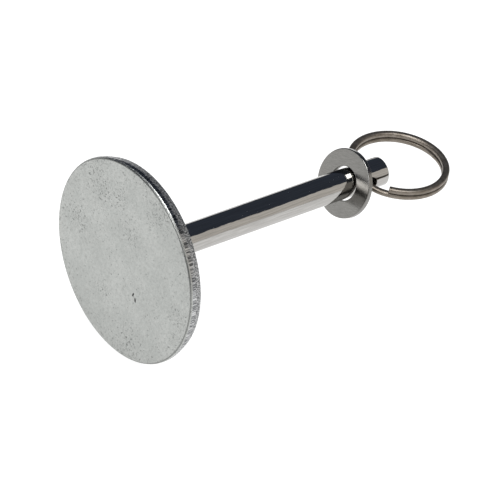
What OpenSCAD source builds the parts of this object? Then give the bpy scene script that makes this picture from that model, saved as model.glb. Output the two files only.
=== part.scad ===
// Disc-headed locking pin: a round plate welded blind to a plain shank, with a loose
// washer and a two-turn split ring through a cross-hole near the shank's tip.
// The pin runs along +X from the centre of the head's underside, and +Z is up.

/* [Head] */
// Diameter of the round head plate
head_d = 70; // [55:0.5:90]
// Thickness of the head plate
head_t = 5; // [4:0.1:8]
// Radius rolled over on the rim of the outer face
head_edge_r = 0.9; // [0.3:0.1:1.6]
// Depth of the straight band on the rim, measured from the outer face
head_band = 2; // [1.7:0.1:2.5]
// How much smaller the underside is than the outer face, on the radius
head_taper = 1.2; // [0.2:0.1:2]
// Depth of the blind socket that takes the root of the shank
socket_depth = 2; // [1:0.1:3]
// Clearance around the shank in its socket, on the radius
socket_clearance = 0.05; // [0.02:0.01:0.2]

/* [Shank] */
// Diameter of the shank
shank_d = 10; // [8:0.1:12.7]
// Length of the shank from the head's underside to its tip
shank_l = 105; // [80:0.5:130]
// Bevel on the edge of the tip
tip_bevel = 0.9; // [0.3:0.1:1.5]
// Distance from the tip back to the axis of the cross-hole
hole_inset = 8.6; // [7:0.1:14]
// Clearance around the ring's wire in the cross-hole, on the radius
hole_clearance = 0.05; // [0.02:0.01:0.5]

/* [Weld] */
// Leg of the weld bead, along the head and along the shank
weld_leg = 2.6; // [1.5:0.1:4]
// Depth of the groove in the head that the weld fills
weld_groove = 0.6; // [0.2:0.1:1.2]
// How round the bead's outer surface is: small is rounder
weld_flatness = 1.5; // [0.4:0.1:4]

/* [Washer] */
// Outside diameter of the washer
washer_d = 23.6; // [18:0.1:30]
// Thickness of the washer
washer_t = 1.65; // [1:0.05:3]
// Difference between the washer's bore and the shank's diameter
washer_play = 1.6; // [1.5:0.05:4]
// Lean of the washer where it rests on the shank, in degrees
washer_lean = 18.5; // [0:0.5:19]
// Gap between the leaning washer and the split ring
washer_gap = 4.3; // [2:0.1:8]

/* [Split ring] */
// Outside diameter of the split ring
ring_d = 35; // [30:0.5:45]
// Width of the ring's wire, across the ring
wire_w = 2.45; // [1.5:0.05:2.8]
// Height of the ring's wire, one turn
wire_h = 1.85; // [1:0.05:2.2]
// Gap between the two turns
turn_gap = 0.06; // [0.02:0.01:0.3]
// How far the loop hangs to one side of the shank
ring_offset = 0.3; // [0:0.1:1.5]
// Angle over which the wire steps from one turn up to the other
step_angle = 60; // [40:5:90]
// Angle left open between the upper end of the wire and the step
end_gap_angle = 9; // [4:1:40]

/* [Hidden] */
$fn = 96;

cut = 1;
shank_r = shank_d / 2;
hole_x = shank_l - hole_inset;

// The wire crosses the shank on a curve, so the hole is as wide as that stretch of curve.
ring_outer_r = ring_d / 2;
ring_inner_r = ring_outer_r - wire_w;
ring_mid_r = ring_outer_r - wire_w / 2;
curve_near = ring_outer_r;
curve_far = sqrt(pow(ring_inner_r, 2) - pow(shank_r + ring_offset, 2));
ring_x = hole_x + (curve_near + curve_far) / 2;
wire_reach = (curve_near - curve_far) / 2;
hole_d = 2 * (norm([wire_reach, wire_h]) + hole_clearance);

washer_bore = shank_d + washer_play;
washer_x = hole_x - wire_reach - washer_gap
    - (wire_h + turn_gap / 2) * tan(washer_lean) - washer_t / 2 / cos(washer_lean);

// The wire is swept along its own centre line as rings of points.
section_sides = 12;
section_power = 3.2;
ring_step = 7;
level_z = (wire_h + turn_gap) / 2;
first_turn = 360 - step_angle;
wire_turn = 720 - step_angle - end_gap_angle;
sweep_rings = ceil(wire_turn / ring_step);

function turn_at(k) = wire_turn * k / sweep_rings;
function eased(t) = t <= 0 ? 0 : t >= 1 ? 1 : t * t * (3 - 2 * t);
function height_at(turn) = level_z * (2 * eased((turn - first_turn) / step_angle) - 1);
function bearing_at(turn) = 180 - step_angle / 2 - turn;
function rounded(v) = sign(v) * pow(abs(v), 2 / section_power);
function section_point(k) =
    let (a = 360 * (k + 0.5) / section_sides)
    [wire_w / 2 * rounded(cos(a)), wire_h / 2 * rounded(sin(a))];
section_reach = max([for (k = [0:section_sides - 1]) section_point(k)[0]]);
section_rise = max([for (k = [0:section_sides - 1]) section_point(k)[1]]);
function wire_point(turn, k) =
    let (
        p = section_point(k),
        r = ring_mid_r + p[0] * wire_w / 2 / section_reach,
        z = height_at(turn) + p[1] * wire_h / 2 / section_rise,
        b = bearing_at(turn)
    )
    [ring_x + r * cos(b), r * sin(b) - ring_offset, z];

// Turns a child drawn along +Z so that it lies along +X.
module along_x(x = 0) {
    translate([x, 0, 0]) rotate([0, 90, 0]) children();
}

module head_profile() {
    translate([head_d / 2 - head_edge_r, head_edge_r]) circle(head_edge_r);
    polygon([
        [0, 0], [head_d / 2 - head_edge_r, 0], [head_d / 2, head_edge_r],
        [head_d / 2, head_band], [head_d / 2 - head_taper, head_t], [0, head_t]
    ]);
}

module head_disc() {
    color("gainsboro") difference() {
        along_x(-head_t) rotate_extrude() head_profile();
        along_x(-socket_depth) cylinder(r = shank_r + socket_clearance, h = socket_depth + cut);
        along_x(-weld_groove) cylinder(r = shank_r + weld_leg, h = weld_groove + cut);
    }
}

module shank() {
    color("silver") difference() {
        union() {
            along_x(-socket_depth) cylinder(r = shank_r, h = socket_depth + shank_l - tip_bevel);
            along_x(shank_l - tip_bevel)
                cylinder(r1 = shank_r, r2 = shank_r - tip_bevel, h = tip_bevel);
        }
        translate([hole_x, 0, 0]) rotate([90, 0, 0])
            cylinder(d = hole_d, h = shank_d + 2 * cut, center = true);
    }
}

module weld_profile() {
    inset = weld_flatness * weld_leg;
    translate([shank_r, -weld_groove]) square([weld_leg, weld_groove]);
    translate([shank_r, 0]) intersection() {
        square(weld_leg);
        translate([-inset, -inset]) circle(norm([inset + weld_leg, inset]));
    }
}

module weld_bead() {
    color("darkgray") along_x() rotate_extrude() weld_profile();
}

module washer() {
    color("darkgray") translate([washer_x, 0, 0]) rotate([0, washer_lean, 0])
        along_x() difference() {
            cylinder(d = washer_d, h = washer_t, center = true);
            cylinder(d = washer_bore, h = washer_t + cut, center = true);
        }
}

module split_ring() {
    points = [
        for (i = [0:sweep_rings]) for (k = [0:section_sides - 1]) wire_point(turn_at(i), k)
    ];
    last = sweep_rings * section_sides;
    sides = [
        for (i = [0:sweep_rings - 1]) for (k = [0:section_sides - 1])
            let (
                a = i * section_sides + k,
                b = i * section_sides + (k + 1) % section_sides
            )
            each [[a, b, b + section_sides], [a, b + section_sides, a + section_sides]]
    ];
    caps = [
        [for (k = [section_sides - 1:-1:0]) k],
        [for (k = [0:section_sides - 1]) last + k]
    ];
    color("rosybrown") polyhedron(points, concat(sides, caps));
}

head_disc();
shank();
weld_bead();
washer();
split_ring();
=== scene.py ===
"""A disc head locking pin on a pale studio floor: head plate, shank, weld, washer, split ring."""
import math

import bpy
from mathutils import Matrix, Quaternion, Vector


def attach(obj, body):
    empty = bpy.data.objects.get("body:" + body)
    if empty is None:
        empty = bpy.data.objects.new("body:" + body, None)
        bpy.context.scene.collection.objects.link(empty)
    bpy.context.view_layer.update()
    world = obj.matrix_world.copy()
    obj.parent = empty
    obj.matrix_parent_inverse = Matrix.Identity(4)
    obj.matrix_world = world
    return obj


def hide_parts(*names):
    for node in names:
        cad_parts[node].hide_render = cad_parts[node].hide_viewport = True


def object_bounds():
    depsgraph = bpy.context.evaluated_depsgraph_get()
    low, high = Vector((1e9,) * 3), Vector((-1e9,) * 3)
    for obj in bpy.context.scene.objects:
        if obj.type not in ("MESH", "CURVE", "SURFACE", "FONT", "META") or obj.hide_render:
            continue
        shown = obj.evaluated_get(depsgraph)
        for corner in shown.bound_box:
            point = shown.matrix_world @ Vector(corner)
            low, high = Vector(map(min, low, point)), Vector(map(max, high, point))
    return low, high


MM = 0.001
WHOLE_TURN = 2 * math.pi

# How far a point may lie from where it is looked for
SLACK = 0.02 * MM

# Head plate
HEAD_R = 34.99 * MM
HEAD_BACK_R = 33.79 * MM
HEAD_T = 5 * MM
HEAD_BAND = 2 * MM
HEAD_ROLL = 0.9 * MM
HEAD_BURR = 0.16 * MM
HEAD_SIDES = 256

# Shank
SHANK_R = 5 * MM
SHANK_L = 105 * MM
SHANK_ROOT = 2 * MM
SOCKET_GAP = 0.05 * MM
TIP_BEVEL = 0.9 * MM
TIP_BLUNT = 0.14 * MM
SHANK_SIDES = 160
HOLE_X = 96.4 * MM
HOLE_R = 2.567 * MM
HOLE_BREAK = 0.22 * MM
HOLE_SIDES = 72
# Cuts across the shank on both sides of the hole, in hole radii from its axis
HOLE_FENCES = (-2.4, -1.8, -1.4, 1.4, 1.8, 2.4)

# Weld
WELD_LEG = 2.6 * MM
WELD_GROOVE = 0.6 * MM
WELD_RIPPLES = 40
WELD_STEPS = 5
# The bead's outline: height above the head in millimetres, and share of the leg that is left
WELD_OUTLINE = (
    (0.10, 0.995), (0.35, 0.93), (0.90, 0.80), (1.55, 0.66), (2.15, 0.42), (2.55, 0.12),
)
# The dent between two ripples: which steps of a ripple move, and how far
WELD_DENTS = ((0, -0.085 * MM), (1, -0.02 * MM), (WELD_STEPS - 1, -0.05 * MM))
# The stretch of the bead that the dents reach, and how far they stay off the shank
WELD_DENT_LOW = 0.05 * MM
WELD_DENT_HIGH = 2.5 * MM
WELD_DENT_CLEAR = 0.2 * MM

# Washer
WASHER_R = 11.8 * MM
WASHER_BORE_R = 5.8 * MM
WASHER_T = 1.65 * MM
WASHER_X = 88.894 * MM
WASHER_LEAN = math.radians(18.5)
WASHER_ROLL = 0.3 * MM
WASHER_BREAK = 0.1 * MM
WASHER_SIDES = 160

# Split ring
RING_X = 112.193 * MM
RING_Y = -0.3 * MM
RING_MID_R = 16.268 * MM
WIRE_W = 2.45 * MM
WIRE_H = 1.85 * MM
TURN_GAP = 0.06 * MM
STEP_ANGLE = 60
END_GAP_ANGLE = 9
WIRE_POWER = 2.7
WIRE_SIDES = 28
WIRE_STEP_ANGLE = 2.5
CUT_BREAK = 0.14 * MM

# Middle of each worn patch of the face, along Y and Z, and its reach, all in millimetres
FACE_PATCHES = (
    (15.3, 19.3, 7.5), (24.8, 1.2, 5.5), (-11.8, 25.1, 6.0), (-0.7, 12.2, 5.5),
    (7.5, 21.0, 5.0), (7.0, -16.7, 4.5), (-8.1, -26.8, 7.0), (-28.5, -2.3, 4.5),
)
# Middle of each nick of the gouge, its half length, its half width and its lean in radians
GOUGE_NICKS = ((-7.2, -8.6, 1.0, 0.36, -0.35), (-8.6, -9.9, 1.0, 0.44, 0.25))
# The marks of wear fade out between these two places along X, in millimetres
WEAR_X = (-3.5, -4.2)

# Colours of the metals. Pairs are the two ends of a mottle
ZINC = (0.410, 0.422, 0.407), (0.455, 0.466, 0.450)
ZINC_MOTTLE = (0.29, 0.302, 0.290)
ZINC_PIT = (0.10, 0.105, 0.10)
ZINC_SCRATCH = (0.72, 0.74, 0.72)
# The gouge's dark, which also paints a thin shade line round the edge of the face
ZINC_GOUGE_AND_EDGE_SHADE = (0.03, 0.03, 0.03)
RIM = (0.07, 0.074, 0.08), (0.52, 0.525, 0.525)
BAR = (0.36, 0.352, 0.338), (0.44, 0.431, 0.416)
BAR_SPECK = (0.22, 0.22, 0.22)
WELD = (0.40, 0.40, 0.39), (0.54, 0.54, 0.53)
SATIN = (0.190, 0.187, 0.177), (0.255, 0.250, 0.239)
SATIN_NICK = (0.20, 0.20, 0.19)
NICKEL = (0.185, 0.161, 0.134), (0.262, 0.234, 0.203)
NICKEL_LINE = (0.15, 0.13, 0.11)
NICKEL_SPECK = (0.12, 0.10, 0.09)

# Studio, in metres and watts
FLOOR_SIZE = 120
FLOOR_GREY = 0.30
FLOOR_GLOW = 0.86
AIR_GLOW = 0.45
BACKDROP_R = 50
CARD_BEND_R = 3.0
CARD_HALF_LENGTH = 9.0
CARD_STEPS = 24
# Where each bent card starts and ends, in degrees from straight up towards -Y, and its colour
BENT_CARDS = {
    "dark_canopy": (-88, 39, (0.048, 0.058, 0.080)),
    "warm_screen": (39, 89, (0.84, 0.80, 0.75)),
}
# The flat card's place, aim, size and colour
LOW_FLAG = ((-0.20, -0.145, 0.03), (0.085, 0.0, 0), (0.34, 0.17), (0.02, 0.02, 0.02))
# Each soft box's place, aim, size and power
SOFT_BOXES = {
    "top_box": ((0.05, -0.02, 0.9), (0.05, 0, 0), (0.42, 0.42), 6),
    "left_box": ((-1.5, -0.25, 1.15), (0.02, 0, 0), (1.1, 0.8), 16),
}


def look_at_the_pin():
    """The camera: a long lens, above and in front of the head, held a little askew."""
    aim = Vector((43.455, -7.475, -7.120)) * MM
    distance = 1645.6 * MM
    azimuth, elevation, roll = (math.radians(a) for a in (-45.17, 36.51, 11.16))
    towards = Vector((
        math.cos(elevation) * math.sin(azimuth),
        -math.cos(elevation) * math.cos(azimuth),
        math.sin(elevation),
    ))
    lens = bpy.data.cameras.new("camera")
    lens.lens = 360
    lens.sensor_width = 36
    lens.clip_end = 200
    camera = bpy.data.objects.new("camera", lens)
    bpy.context.scene.collection.objects.link(camera)
    camera.location = aim + towards * distance
    camera.rotation_mode = "QUATERNION"
    level = towards.to_track_quat("Z", "Y")
    camera.rotation_quaternion = level @ Quaternion((0, 0, 1), roll)
    bpy.context.scene.camera = camera


# ---- materials ----


class Value:
    """One socket of a finish's nodes. Sums of values add their Math nodes."""

    def __init__(self, finish, socket):
        self.finish = finish
        self.socket = socket

    def maths(self, operation, other):
        settings = {"operation": operation}
        return self.finish.node("ShaderNodeMath", settings, {0: self, 1: other})

    def __add__(self, other):
        return self.maths("ADD", other)

    def __sub__(self, other):
        return self.maths("SUBTRACT", other)

    def __mul__(self, other):
        return self.maths("MULTIPLY", other)

    def __truediv__(self, other):
        return self.maths("DIVIDE", other)

    def __pow__(self, other):
        return self.maths("POWER", other)

    __radd__ = __add__
    __rmul__ = __mul__

    def __rsub__(self, other):
        return self.finish.node("ShaderNodeMath", {"operation": "SUBTRACT"}, {0: other, 1: self})

    def between(self, low, high):
        """0 below low, 1 above high, a smooth rise between. It falls if low is the higher."""
        if low > high:
            return 1 - self.between(high, low)
        settings = {"interpolation_type": "SMOOTHSTEP"}
        return self.finish.node(
            "ShaderNodeMapRange", settings, {"Value": self, "From Min": low, "From Max": high})


class Finish:
    """A metal finish: a Principled shader with patterns on Object coordinates, in millimetres."""

    def __init__(self, name):
        self.material = bpy.data.materials.new(name)
        self.material.use_nodes = True
        self.tree = self.material.node_tree
        self.tree.nodes.clear()
        output = self.tree.nodes.new("ShaderNodeOutputMaterial")
        self.shader = self.tree.nodes.new("ShaderNodeBsdfPrincipled")
        self.tree.links.new(self.shader.outputs["BSDF"], output.inputs["Surface"])
        where = self.node("ShaderNodeTexCoord", output="Object")
        self.place = self.node(
            "ShaderNodeMapping", None, {"Vector": where, "Scale": (1 / MM, 1 / MM, 1 / MM)})

    def node(self, kind, settings=None, sockets=None, output=0):
        """Adds a node: its settings first, then what goes into its sockets. Returns one output."""
        node = self.tree.nodes.new(kind)
        for name, value in (settings or {}).items():
            setattr(node, name, value)
        for name, value in (sockets or {}).items():
            self.feed(node.inputs[name], value)
        return Value(self, node.outputs[output])

    def feed(self, socket, value):
        if isinstance(value, Value):
            self.tree.links.new(value.socket, socket)
        else:
            socket.default_value = value

    def set(self, **sockets):
        """Sets the shader's own sockets, named with underscores for spaces."""
        for name, value in sockets.items():
            self.feed(self.shader.inputs[name.replace("_", " ")], value)

    def stretched(self, scale, centre=(0, 0, 0), turn=(0, 0, 0)):
        """The place, measured from a centre and stretched for a pattern."""
        moved = self.node(
            "ShaderNodeMapping", {"vector_type": "POINT"},
            {"Vector": self.place, "Location": tuple(-c for c in centre)})
        turned = self.node(
            "ShaderNodeMapping", {"vector_type": "POINT"},
            {"Vector": moved, "Rotation": turn})
        return self.node("ShaderNodeMapping", None, {"Vector": turned, "Scale": scale})

    def noise(self, vector, scale, detail=2.0, rough=0.5):
        sockets = {"Vector": vector, "Scale": scale, "Detail": detail, "Roughness": rough}
        return self.node("ShaderNodeTexNoise", None, sockets)

    def specks(self, scale, reach, rarity):
        """Scattered round marks: where each one fades out, and which of them show."""
        node = self.tree.nodes.new("ShaderNodeTexVoronoi")
        self.feed(node.inputs["Vector"], self.place)
        self.feed(node.inputs["Scale"], scale)
        chance, _, _ = self.parts(Value(self, node.outputs["Color"]))
        return Value(self, node.outputs["Distance"]).between(*reach) * chance.between(*rarity)

    def parts(self, vector):
        """The three numbers of a vector or a colour."""
        node = self.tree.nodes.new("ShaderNodeSeparateXYZ")
        self.feed(node.inputs[0], vector)
        return [Value(self, output) for output in node.outputs]

    def joined(self, x, y, z):
        return self.node("ShaderNodeCombineXYZ", None, {0: x, 1: y, 2: z})

    def tint(self, share, first, second):
        """A colour between two: share 0 gives the first."""
        node = self.tree.nodes.new("ShaderNodeMix")
        node.data_type = "RGBA"
        for socket, value in ((0, share), (6, first), (7, second)):
            if isinstance(value, tuple):
                value = (*value, 1.0)
            self.feed(node.inputs[socket], value)
        return Value(self, node.outputs[2])

    def relief(self, height, distance, strength, under=None):
        """Bump by a height of 0 to 1, which stands for a distance in metres."""
        sockets = {"Height": height, "Distance": distance, "Strength": strength}
        if under is not None:
            sockets["Normal"] = under
        return self.node("ShaderNodeBump", None, sockets)


def plated_head():
    """Bright zinc over a tumbled blank: pits and scratches on the face, a sheared rim."""
    f = Finish("plated_head")
    x, y, z = f.parts(f.place)
    out = (y * y + z * z) ** 0.5

    cloud = f.noise(f.place, 0.11, 3)
    mottle = f.noise(f.place, 0.8, 4, 0.7)
    grain = f.noise(f.place, 4, 3, 0.7)

    # Irregular pits: a few singly, and more in loose patches of the outer face
    outer = x.between(*WEAR_X)
    patch = worn_patches(y, z) * outer
    edge = out.between(27, 34)
    ragged = f.noise(f.place, 1.25, 3, 0.75)
    pit = (ragged + patch * 0.065 + edge * 0.03).between(0.622, 0.680)
    fine = f.noise(f.place, 2.6, 2, 0.6)
    pinhole = (fine + patch * 0.045 + edge * 0.03).between(0.605, 0.690)
    # A thin painted shade line round the face, where the rolled edge begins
    painted_edge_shade = out.between(34.25, 34.5) * out.between(34.85, 34.7)

    # Faint hair scratches in two directions
    along = f.noise(f.stretched((1, 0.06, 2.4), turn=(0.5, 0, 0)), 1.6, 2, 0.5)
    across = f.noise(f.stretched((1, 2.2, 0.05), turn=(0.9, 0, 0)), 1.5, 2, 0.5)
    scratch = along.between(0.66, 0.70) * 0.6 + across.between(0.67, 0.71) * 0.6

    # One double gouge below the middle of the face
    gouge = gouge_mark(y, z) * outer

    # The rim: rolled edge, burnished band, then torn metal down to the back
    streak = f.noise(f.stretched((0.02, 1, 1)), 2.6, 3, 0.6)
    tear = f.noise(f.stretched((0.45, 1, 1)), 1.1, 3, 0.7)
    front = HEAD_T / MM
    on_rim = (x + (streak - 0.5) * 0.9).between(-front + 0.62, -front + 0.80)
    back = HEAD_BACK_R / MM
    on_back = out.between(back - 0.15, back - 0.35) * x.between(-0.2, -0.05)
    rim = on_rim * (1 - on_back)
    torn = rim * (x + (tear - 0.5) * 2.4).between(-3.4, -2.6)
    face = 1 - on_rim

    flat_grey = f.tint(cloud.between(0.35, 0.65), *ZINC)
    face_grey = f.tint(mottle.between(0.35, 0.68) * 0.40, flat_grey, ZINC_MOTTLE)
    pitted = f.tint(pit * 0.55 + pinhole * 0.34, face_grey, ZINC_PIT)
    scored = f.tint(scratch * 0.20, pitted, ZINC_SCRATCH)
    # The gouge and the painted shade line at the face's edge both take the gouge's dark
    gouged_and_edge_shaded = f.tint(gouge + painted_edge_shade * 0.5, scored, ZINC_GOUGE_AND_EDGE_SHADE)
    rim_grey = f.tint(streak.between(0.40, 0.62), *RIM)
    colour = f.tint(rim, gouged_and_edge_shaded, rim_grey)

    polish = 0.33 + mottle * 0.10 + pit * 0.2
    rim_polish = 0.16 + torn * 0.26 + streak * 0.10
    f.set(
        Base_Color=colour,
        Metallic=1.0,
        Roughness=polish * (1 - rim) + rim_polish * rim,
    )
    holes = 1 - (pit + pinhole * 0.7 + gouge * 2)
    surface = holes * face + grain * 0.16 + mottle * 0.25 + scratch * -0.12
    coarse = f.relief(streak * rim + tear * torn * 0.2, 0.07 * MM, 0.9)
    f.set(Normal=f.relief(surface, 0.05 * MM, 0.8, coarse))
    return f.material


def worn_patches(y, z):
    """The loose patches of the face where its pits crowd together."""
    patches = []
    for centre_y, centre_z, reach in FACE_PATCHES:
        dy, dz = y - centre_y, z - centre_z
        patches.append(((dy * dy + dz * dz) ** 0.5).between(reach * 1.5, 0))
    return highest(patches)


def gouge_mark(y, z):
    """Two short dark nicks side by side, each a small leaning oval."""
    nicks = []
    for centre_y, centre_z, length, width, lean in GOUGE_NICKS:
        dy, dz = y - centre_y, z - centre_z
        across = (dy * math.cos(lean) - dz * math.sin(lean)) / width
        along = (dy * math.sin(lean) + dz * math.cos(lean)) / length
        nicks.append((across * across + along * along).between(1.1, 0.35))
    return highest(nicks)


def highest(values):
    """The greatest of several values."""
    top, *rest = values
    for value in rest:
        top = top.maths("MAXIMUM", value)
    return top


def polished_bar():
    """Bright plated bar: nearly a mirror, with faint draw lines and a few specks."""
    f = Finish("polished_bar")
    draw = f.noise(f.stretched((0.03, 1, 1)), 3.0, 3, 0.6)
    wander = f.noise(f.stretched((0.12, 0.5, 0.5)), 1.0, 2, 0.5)
    speck = f.specks(1.6, reach=(0.30, 0.10), rarity=(0.84, 0.88))
    shade = f.tint(draw.between(0.35, 0.65), *BAR)
    f.set(
        Base_Color=f.tint(speck * 0.45, shade, BAR_SPECK),
        Metallic=1.0,
        Roughness=0.055 + draw * 0.05 + speck * 0.2,
    )
    broad = f.relief(wander, 0.10 * MM, 0.6)
    fine = draw * 0.5 + (1 - speck)
    f.set(Normal=f.relief(fine, 0.004 * MM, 0.6, broad))
    return f.material


def plated_weld():
    """Weld metal under the same plating, with a blotchy tone and a fine grain that varies its
    dullness.
    """
    f = Finish("plated_weld")
    grain = f.noise(f.place, 3.5, 3, 0.6)
    blotch = f.noise(f.place, 0.8, 2)
    f.set(
        Base_Color=f.tint(blotch.between(0.35, 0.65), *WELD),
        Metallic=1.0,
        Roughness=0.26 + grain * 0.2,
        Normal=f.relief(grain, 0.05 * MM, 0.6),
    )
    return f.material


def grained_washer():
    """Satin plate with a fine straight grain and a few handling marks."""
    f = Finish("grained_washer")
    grain = f.noise(f.stretched((1, 0.10, 2.2), turn=(0.35, 0, 0)), 3.2, 3, 0.65)
    cloud = f.noise(f.place, 0.35, 2)
    nick = f.specks(1.1, reach=(0.26, 0.08), rarity=(0.84, 0.90))
    satin = f.tint(grain.between(0.30, 0.70), *SATIN)
    f.set(
        Base_Color=f.tint(nick * 0.5, satin, SATIN_NICK),
        Metallic=1.0,
        Roughness=0.13 + cloud * 0.06 + grain * 0.06,
        Normal=f.relief(grain * 0.7 + (1 - nick), 0.012 * MM, 0.7),
    )
    return f.material


def drawn_wire():
    """Nickel plated spring wire: warm grey, with draw lines that follow the coil."""
    f = Finish("drawn_wire")
    here = f.stretched((1, 1, 1), centre=(RING_X / MM, RING_Y / MM, 0))
    x, y, z = f.parts(here)
    out = (x * x + y * y) ** 0.5
    bearing = y.maths("ARCTAN2", x)
    lines = f.noise(f.joined(out * 4, z * 4, bearing * 0.8), 1.0, 3, 0.6)
    cloud = f.noise(f.place, 0.5, 3, 0.6)
    speck = f.specks(1.9, reach=(0.30, 0.10), rarity=(0.82, 0.88))
    nickel = f.tint(cloud.between(0.35, 0.65), *NICKEL)
    lined = f.tint(lines.between(0.42, 0.62) * 0.4, nickel, NICKEL_LINE)
    f.set(
        Base_Color=f.tint(speck * 0.5, lined, NICKEL_SPECK),
        Metallic=1.0,
        Roughness=0.36 + lines * 0.14 + speck * 0.10,
        Normal=f.relief(lines * 0.6 + (1 - speck) * 0.5, 0.012 * MM, 0.6),
    )
    return f.material


# ---- modelling ----


def object_mode():
    bpy.ops.object.mode_set(mode="OBJECT")


def edit_mode():
    bpy.ops.object.mode_set(mode="EDIT")


def clear_selection():
    if bpy.context.object and bpy.context.object.mode != "OBJECT":
        object_mode()
    bpy.ops.object.select_all(action="DESELECT")


def take(piece):
    """Makes a piece the only one selected and the active one."""
    clear_selection()
    piece.select_set(True)
    bpy.context.view_layer.objects.active = piece


def start(name):
    """Names the primitive just added, and its mesh after it."""
    piece = bpy.context.object
    piece.name = name
    piece.data.name = name
    return piece


def drop_selection():
    bpy.ops.mesh.select_all(action="DESELECT")


def select_everything():
    bpy.ops.mesh.select_all(action="SELECT")


def face_outwards():
    """Turns every face of the piece in edit mode to face outwards."""
    select_everything()
    bpy.ops.mesh.normals_make_consistent(inside=False)


def edit(piece, mode="FACE"):
    """Opens a piece for editing with nothing selected."""
    take(piece)
    edit_mode()
    bpy.ops.mesh.select_mode(type=mode)
    drop_selection()


def pick(piece, kind, test):
    """Selects, in edit mode, the faces, edges or vertices whose middle passes the test."""
    object_mode()
    mesh = piece.data
    points = mesh.vertices
    for item in getattr(mesh, kind):
        if kind == "vertices":
            middle = item.co
        elif kind == "edges":
            middle = (points[item.vertices[0]].co + points[item.vertices[1]].co) / 2
        else:
            middle = item.center
        item.select = bool(test(item, middle))
    edit_mode()


def ring_edges(piece, x, radius):
    """A test for the edges of the circle at that x and radius."""
    points = piece.data.vertices

    def test(edge, _middle):
        ends = [points[i].co for i in edge.vertices]
        return all(
            abs(p.x - x) < SLACK and abs(math.hypot(p.y, p.z) - radius) < SLACK for p in ends)

    return test


def end_face(x):
    """A test for the flat face that closes a turned shape at that x."""
    return lambda face, middle: (
        abs(middle.x - x) < SLACK and abs(face.normal.x) > 0.99
        and math.hypot(middle.y, middle.z) < SLACK)


def smooth(piece, degrees=35):
    take(piece)
    bpy.ops.object.shade_smooth_by_angle(angle=math.radians(degrees))
    even = piece.modifiers.new("even_faces", "WEIGHTED_NORMAL")
    even.mode = "FACE_AREA"
    even.weight = 100
    even.keep_sharp = True
    bpy.ops.object.modifier_apply(modifier=even.name)


def settle(piece):
    """Puts the piece's turn, scale and place into its mesh."""
    take(piece)
    bpy.ops.object.transform_apply(location=True, rotation=True, scale=True)


def add_bar(name, radius, x0, x1, sides):
    """A plain round bar along X, ready to be shaped."""
    clear_selection()
    bpy.ops.mesh.primitive_cylinder_add(
        vertices=sides, radius=radius, depth=x1 - x0, end_fill_type="NGON",
        location=((x0 + x1) / 2, 0, 0), rotation=(0, math.pi / 2, 0))
    piece = start(name)
    settle(piece)
    return piece


def shrink_end(ratio, x):
    """Scales what is selected about the X axis."""
    bpy.ops.transform.resize(value=(1, ratio, ratio), center_override=(x, 0, 0))


def bore_into(piece, depth, radius, x):
    """Insets the end face at x down to a circle of that radius and pushes it in."""
    outline = max(
        math.hypot(v.co.y, v.co.z) for v in piece.data.vertices if abs(v.co.x - x) < SLACK)
    bpy.ops.mesh.inset(thickness=outline - radius, use_even_offset=True)
    bpy.ops.mesh.extrude_region_move(TRANSFORM_OT_translate={"value": (-depth, 0, 0)})


def make_head_plate():
    """A blank punched from plate: rolled front edge, straight band, torn taper, blind socket."""
    plate = add_bar("head_plate", HEAD_R, -HEAD_T, -HEAD_T + HEAD_BAND, HEAD_SIDES)
    edit(plate)
    pick(plate, "polygons", end_face(-HEAD_T + HEAD_BAND))
    bpy.ops.mesh.extrude_region_move(
        TRANSFORM_OT_translate={"value": (HEAD_T - HEAD_BAND, 0, 0)})
    shrink_end(HEAD_BACK_R / HEAD_R, 0)

    bpy.ops.mesh.select_mode(type="EDGE")
    pick(plate, "edges", ring_edges(plate, 0, HEAD_BACK_R))
    bpy.ops.mesh.bevel(offset=HEAD_BURR, segments=2)
    drop_selection()
    pick(plate, "edges", ring_edges(plate, -HEAD_T, HEAD_R))
    bpy.ops.mesh.bevel(offset=HEAD_ROLL, segments=8)

    bpy.ops.mesh.select_mode(type="FACE")
    pick(plate, "polygons", end_face(0))
    bore_into(plate, WELD_GROOVE, SHANK_R + WELD_LEG, 0)
    object_mode()
    edit_mode()
    bore_into(plate, SHANK_ROOT - WELD_GROOVE, SHANK_R + SOCKET_GAP, -WELD_GROOVE)
    object_mode()
    smooth(plate)
    return plate


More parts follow.
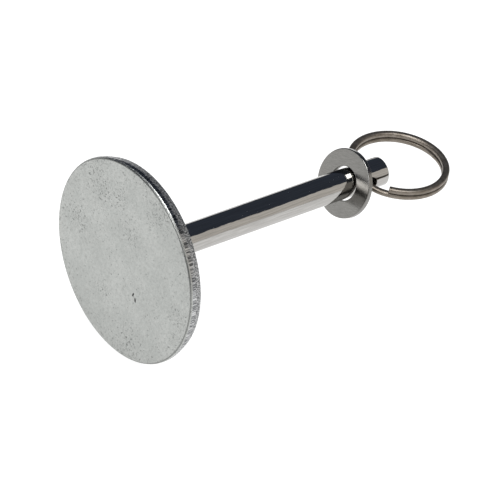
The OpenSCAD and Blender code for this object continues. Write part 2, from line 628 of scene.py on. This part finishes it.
def make_shank_bar():
    """A plain bar with a blunt bevel at the tip and a drilled cross-hole."""
    bar = add_bar("shank_bar", SHANK_R, -SHANK_ROOT, SHANK_L, SHANK_SIDES)
    edit(bar, "EDGE")
    pick(bar, "edges", ring_edges(bar, SHANK_L, SHANK_R))
    bpy.ops.mesh.bevel(offset=TIP_BEVEL, segments=1)
    drop_selection()
    pick(bar, "edges", ring_edges(bar, SHANK_L - TIP_BEVEL, SHANK_R))
    bpy.ops.mesh.bevel(offset=TIP_BLUNT, segments=3)
    drop_selection()
    pick(bar, "edges", ring_edges(bar, SHANK_L, SHANK_R - TIP_BEVEL))
    bpy.ops.mesh.bevel(offset=TIP_BLUNT, segments=3)

    # Short stretches near the hole keep the wall's shading true round it
    for fence in HOLE_FENCES:
        select_everything()
        bpy.ops.mesh.bisect(plane_co=(HOLE_X + fence * HOLE_R, 0, 0), plane_no=(1, 0, 0))
    object_mode()

    clear_selection()
    bpy.ops.mesh.primitive_cylinder_add(
        vertices=HOLE_SIDES, radius=HOLE_R, depth=4 * SHANK_R, location=(HOLE_X, 0, 0),
        rotation=(math.pi / 2, 0, 0))
    drill = start("drill")
    settle(drill)
    cut = bar.modifiers.new("cross_hole", "BOOLEAN")
    cut.operation = "DIFFERENCE"
    cut.solver = "EXACT"
    cut.object = drill
    take(bar)
    bpy.ops.object.modifier_apply(modifier=cut.name)
    bpy.data.objects.remove(drill)

    def mouth(edge, _middle):
        """The hole's two curved rims: on the bar's wall and on the drill's."""
        for index in edge.vertices:
            p = bar.data.vertices[index].co
            on_drill = abs(math.hypot(p.x - HOLE_X, p.z) - HOLE_R) < SLACK
            on_wall = abs(math.hypot(p.y, p.z) - SHANK_R) < SLACK
            if not (on_drill and on_wall):
                return False
        return True

    edit(bar, "EDGE")
    pick(bar, "edges", mouth)
    bpy.ops.mesh.bevel(offset=HOLE_BREAK, segments=2)
    object_mode()
    smooth(bar, 30)
    return bar


def make_weld():
    """One run of weld round the root of the shank, laid as even ripples."""
    outer = SHANK_R + WELD_LEG
    sides = WELD_RIPPLES * WELD_STEPS
    bead = add_bar("weld_run", outer, -WELD_GROOVE, 0, sides)
    edit(bead)
    x, radius = 0, outer
    pick(bead, "polygons", end_face(0))
    for height, share in WELD_OUTLINE:
        wanted = SHANK_R + WELD_LEG * share
        bpy.ops.mesh.extrude_region_move(
            TRANSFORM_OT_translate={"value": (height * MM - x, 0, 0)})
        shrink_end(wanted / radius, height * MM)
        x, radius = height * MM, wanted
    object_mode()
    edit_mode()

    # The shank runs through: both ends open out to its wall, which closes the ring
    for end, width in ((x, radius - SHANK_R), (-WELD_GROOVE, WELD_LEG)):
        pick(bead, "polygons", end_face(end))
        bpy.ops.mesh.inset(thickness=width, use_even_offset=True)
        bpy.ops.mesh.delete(type="FACE")
    object_mode()
    close_ring(bead, SHANK_R)

    edit(bead, "VERT")
    step = WHOLE_TURN / sides
    for place, rise in WELD_DENTS:
        pick(bead, "vertices", lambda _vertex, p, place=place: (
            WELD_DENT_LOW < p.x < WELD_DENT_HIGH
            and math.hypot(p.y, p.z) > SHANK_R + WELD_DENT_CLEAR
            and round(math.atan2(p.z, p.y) / step) % WELD_STEPS == place))
        bpy.ops.transform.shrink_fatten(value=rise)
    object_mode()
    smooth(bead, 60)
    return bead


def close_ring(piece, radius):
    """Joins a shell's two open rims by a wall of that radius."""
    edit(piece, "EDGE")
    bpy.ops.mesh.select_non_manifold()
    bpy.ops.mesh.bridge_edge_loops()
    object_mode()
    for point in piece.data.vertices:
        reach = math.hypot(point.co.y, point.co.z)
        if reach < radius + SLACK:
            point.co.y *= radius / reach
            point.co.z *= radius / reach
    edit(piece)
    face_outwards()
    object_mode()


def make_washer():
    """A stamped washer: rolled edges on the punch side, crisp ones on the other."""
    half = WASHER_T / 2
    disc = add_bar("stamped_washer", WASHER_R, -half, half, WASHER_SIDES)
    edit(disc)
    pick(disc, "polygons", lambda _face, middle: math.hypot(middle.y, middle.z) < SLACK)
    bpy.ops.mesh.inset(thickness=WASHER_R - WASHER_BORE_R, use_even_offset=True)
    bpy.ops.mesh.delete(type="FACE")
    bpy.ops.mesh.select_mode(type="EDGE")
    bpy.ops.mesh.select_non_manifold()
    bpy.ops.mesh.bridge_edge_loops()
    face_outwards()
    for x, radius, offset in (
        (-half, WASHER_R, WASHER_ROLL), (-half, WASHER_BORE_R, WASHER_ROLL),
        (half, WASHER_R, WASHER_BREAK), (half, WASHER_BORE_R, WASHER_BREAK),
    ):
        drop_selection()
        pick(disc, "edges", ring_edges(disc, x, radius))
        bpy.ops.mesh.bevel(offset=offset, segments=3)
    object_mode()
    disc.rotation_euler = (0, WASHER_LEAN, 0)
    disc.location = (WASHER_X, 0, 0)
    settle(disc)
    smooth(disc)
    return disc


def wire_height(turned):
    """Height of the wire's middle, by how far it has gone round, in degrees."""
    share = (turned - (360 - STEP_ANGLE)) / STEP_ANGLE
    share = min(max(share, 0), 1)
    eased = share * share * (3 - 2 * share)
    return (WIRE_H + TURN_GAP) / 2 * (2 * eased - 1)


def make_split_ring():
    """One flattened wire wound twice round: swept by a spin, then lifted where it steps up."""
    whole = 720 - STEP_ANGLE - END_GAP_ANGLE
    steps = round(whole / WIRE_STEP_ANGLE)
    wire = sweep_wire(whole, steps)
    for index, point in enumerate(wire.data.vertices):
        turned = (index // WIRE_SIDES) * whole / steps
        point.co.z += wire_height(turned)
        point.co.x += RING_X
        point.co.y += RING_Y
    edit(wire)
    face_outwards()
    drop_selection()
    pick(wire, "polygons", lambda face, _middle: len(face.vertices) == WIRE_SIDES)
    bpy.ops.mesh.bevel(offset=CUT_BREAK, segments=2)
    object_mode()
    smooth(wire, 40)
    return wire


def sweep_wire(whole, steps):
    """The wire lying flat round the origin: its oval section spun through the whole angle."""
    clear_selection()
    bpy.ops.mesh.primitive_circle_add(
        vertices=WIRE_SIDES, radius=1, fill_type="NGON", location=(0, 0, 0),
        rotation=(math.pi / 2, 0, 0))
    wire = start("split_wire")
    settle(wire)
    for point in wire.data.vertices:
        across, up = (
            math.copysign(abs(c) ** (2 / WIRE_POWER), c) for c in (point.co.x, point.co.z))
        point.co = (RING_MID_R + across * WIRE_W / 2, 0, up * WIRE_H / 2)
    wire.rotation_euler = (0, 0, math.radians(180 - STEP_ANGLE / 2))
    settle(wire)
    edit(wire)
    select_everything()
    bpy.ops.mesh.spin(
        steps=steps, angle=math.radians(whole), center=(0, 0, 0), axis=(0, 0, 1),
        use_auto_merge=False)
    object_mode()
    return wire


def add_piece(piece, body, node, material):
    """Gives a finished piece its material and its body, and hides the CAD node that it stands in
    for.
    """
    piece.data.materials.clear()
    piece.data.materials.append(material)
    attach(piece, body)
    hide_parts(node)


# ---- studio ----


def glow(name, colour):
    """A plain light-giving surface for a studio card."""
    material = bpy.data.materials.new(name)
    material.use_nodes = True
    nodes = material.node_tree.nodes
    nodes.clear()
    output = nodes.new("ShaderNodeOutputMaterial")
    light = nodes.new("ShaderNodeEmission")
    light.inputs["Color"].default_value = (*colour, 1)
    light.inputs["Strength"].default_value = 1
    material.node_tree.links.new(light.outputs[0], output.inputs["Surface"])
    return material


def lay_floor(z):
    """A wide pale floor under the pin."""
    clear_selection()
    bpy.ops.mesh.primitive_plane_add(size=FLOOR_SIZE, location=(0, 0, z))
    floor = start("floor")
    f = Finish("pale_floor")
    f.set(
        Base_Color=(FLOOR_GREY, FLOOR_GREY, FLOOR_GREY, 1), Roughness=0.9,
        Specular_IOR_Level=0.0, Emission_Color=(1, 1, 1, 1), Emission_Strength=FLOOR_GLOW)
    floor.data.materials.append(f.material)


def hide_card(card):
    """Keeps a studio card out of the view and off the floor's light."""
    card.visible_camera = False
    card.visible_diffuse = False
    card.visible_shadow = False
    card.visible_transmission = False


def bend_card(name, first, last, colour):
    """A sheet bent round the X axis, seen only in reflections."""
    points, faces = [], []
    for i in range(CARD_STEPS + 1):
        angle = math.radians(first + (last - first) * i / CARD_STEPS)
        y, z = -CARD_BEND_R * math.sin(angle), CARD_BEND_R * math.cos(angle)
        points += [(-CARD_HALF_LENGTH, y, z), (CARD_HALF_LENGTH, y, z)]
    for a in range(0, 2 * CARD_STEPS, 2):
        faces.append((a, a + 1, a + 3, a + 2))
    mesh = bpy.data.meshes.new(name)
    mesh.from_pydata(points, [], faces)
    card = bpy.data.objects.new(name, mesh)
    bpy.context.scene.collection.objects.link(card)
    mesh.materials.append(glow(name, colour))
    hide_card(card)


def soft_box(name, place, aim, size, watts):
    """A rectangular light that faces its aim."""
    lamp = bpy.data.lights.new(name, "AREA")
    lamp.shape = "RECTANGLE"
    lamp.size, lamp.size_y = size
    lamp.energy = watts
    box = bpy.data.objects.new(name, lamp)
    bpy.context.scene.collection.objects.link(box)
    box.location = place
    box.rotation_euler = (Vector(aim) - Vector(place)).to_track_quat("-Z", "Y").to_euler()


def add_flag(name, place, aim, size, colour):
    """A flat dark card that only reflections see."""
    clear_selection()
    bpy.ops.mesh.primitive_plane_add(size=1, location=place)
    flag = start(name)
    flag.rotation_euler = (Vector(aim) - Vector(place)).to_track_quat("Z", "Y").to_euler()
    flag.scale = (*size, 1)
    settle(flag)
    flag.data.materials.append(glow(name, colour))
    hide_card(flag)


def add_backdrop():
    """A white wall all round, far off: the camera sees it and the metal doesn't."""
    clear_selection()
    bpy.ops.mesh.primitive_uv_sphere_add(segments=48, ring_count=24, radius=BACKDROP_R)
    wall = start("backdrop")
    wall.data.materials.append(glow("white_wall", (1, 1, 1)))
    wall.visible_glossy = False
    wall.visible_diffuse = False
    wall.visible_shadow = False


def light_the_studio():
    """A soft white room, its cards and its two lights, shown with plain colours."""
    world = bpy.data.worlds.new("studio")
    bpy.context.scene.world = world
    world.use_nodes = True
    air = world.node_tree.nodes["Background"]
    air.inputs["Color"].default_value = (1, 1, 1, 1)
    air.inputs["Strength"].default_value = AIR_GLOW
    add_backdrop()
    for name, card in BENT_CARDS.items():
        bend_card(name, *card)
    add_flag("low_flag", *LOW_FLAG)
    for name, box in SOFT_BOXES.items():
        soft_box(name, *box)
    view = bpy.context.scene.view_settings
    view.view_transform = "Standard"
    view.look = "None"
    view.exposure = 0
    view.gamma = 1


look_at_the_pin()
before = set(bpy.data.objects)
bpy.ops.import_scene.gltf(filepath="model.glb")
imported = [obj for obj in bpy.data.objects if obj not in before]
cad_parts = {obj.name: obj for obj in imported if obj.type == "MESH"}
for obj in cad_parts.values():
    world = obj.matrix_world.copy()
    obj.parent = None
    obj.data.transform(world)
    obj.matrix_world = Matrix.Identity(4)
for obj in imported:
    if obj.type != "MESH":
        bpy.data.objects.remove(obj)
cad_low, cad_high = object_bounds()

lay_floor(cad_low.z)
light_the_studio()

add_piece(make_head_plate(), "pin", "head_disc", plated_head())
add_piece(make_shank_bar(), "pin", "shank", polished_bar())
add_piece(make_weld(), "pin", "weld_bead", plated_weld())
add_piece(make_washer(), "washer", "washer", grained_washer())
add_piece(make_split_ring(), "ring", "split_ring", drawn_wire())
